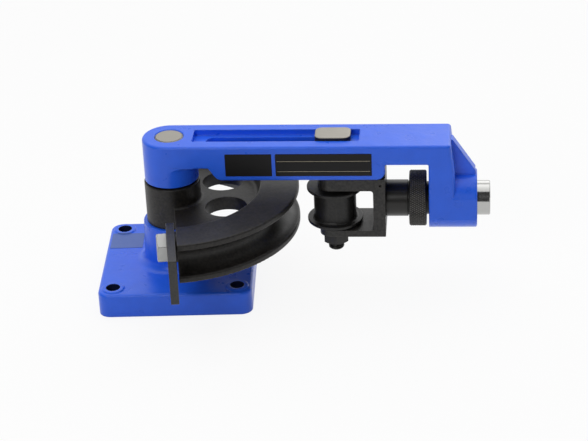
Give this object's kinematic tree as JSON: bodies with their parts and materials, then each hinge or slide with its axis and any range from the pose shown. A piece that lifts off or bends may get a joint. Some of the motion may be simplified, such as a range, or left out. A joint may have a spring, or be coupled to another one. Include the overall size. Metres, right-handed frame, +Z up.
{
  "type": "manual pipe bender",
  "caption": "Bench pipe bender: half-round grooved die on a bolted base, swinging arm with a screw-fed roller in a yoke, clamp plate for the pipe and a socket tube for a lever.",
  "frame": {"origin": "on the pillar's axis, at the underside of the base", "axes": "+X along the arm as it stands at rest, towards the lever tube; +Y towards the rear; +Z up along the pillar"},
  "size_m": [0.3956, 0.2856, 0.164],
  "materials": {
    "blue_enamel": "cast iron with glossy blue enamel",
    "black_casting": "cast and machined steel, satin black",
    "black_oxide": "turned steel, black oxide",
    "ground_steel": "ground bright steel",
    "zinc": "zinc plated",
    "polished_steel": "polished tube",
    "bronze": "plain bearing bronze",
    "black_label": "blank printed plate",
    "blue_label": "blank printed label"
  },
  "bodies": {
    "base": {"base_casting": "blue_enamel", "base_label": "blue_label", "pivot_pin": "ground_steel", "pivot_lock_screw": "black_oxide", "die_dowels": "ground_steel", "bending_die": "black_casting", "thrust_washer": "black_oxide", "clamp_bolt": "zinc", "clamp_spacer": "zinc"},
    "clamp": {"clamp_plate": "black_casting"},
    "arm": {"arm_casting": "blue_enamel", "arm_label_short": "black_label", "arm_label_long": "black_label", "lever_tube": "polished_steel", "tube_lock_screw": "black_oxide"},
    "yoke": {"yoke": "black_casting", "roller_bolt": "ground_steel", "roller_washer_upper": "black_oxide", "roller_washer_lower": "black_oxide", "nut_washer": "black_oxide", "roller_nut": "black_oxide", "thrust_sleeve": "black_oxide", "swivel_pin": "ground_steel"},
    "roller": {"roller": "black_casting", "roller_bush": "bronze"},
    "screw": {"feed_screw": "black_oxide", "knurled_ring": "black_oxide", "ring_grub_screw": "black_oxide"}
  },
  "joints": [
    {"name": "arm_swing", "type": "hinge", "parent": "base", "child": "arm", "pos_m": [0, 0, 0.1386], "axis": [0, 0, 1], "range_deg": [-70, 110]},
    {"name": "clamp_swing", "type": "hinge", "parent": "base", "child": "clamp", "pos_m": [0.01423, -0.09089, 0.0855], "axis": [0.988, 0.1547, 0], "range_deg": [-12, 12]},
    {"name": "yoke_feed", "type": "slide", "parent": "arm", "child": "yoke", "axis": [1, 0, 0], "range_m": [-0.0075, 0.002]},
    {"name": "screw_turn", "type": "hinge", "parent": "yoke", "child": "screw", "pos_m": [0.2461, 0, 0.0915], "axis": [1, 0, 0], "range_deg": [-770, 200]},
    {"name": "roller_spin", "type": "hinge", "parent": "yoke", "child": "roller", "pos_m": [0.163, 0, 0.0877], "axis": [0, 0, 1], "continuous": true}
  ],
  "couplings": [
    {"joint": "yoke_feed", "follows": "screw_turn", "m_per_rad": 0.00055704}
  ]
}
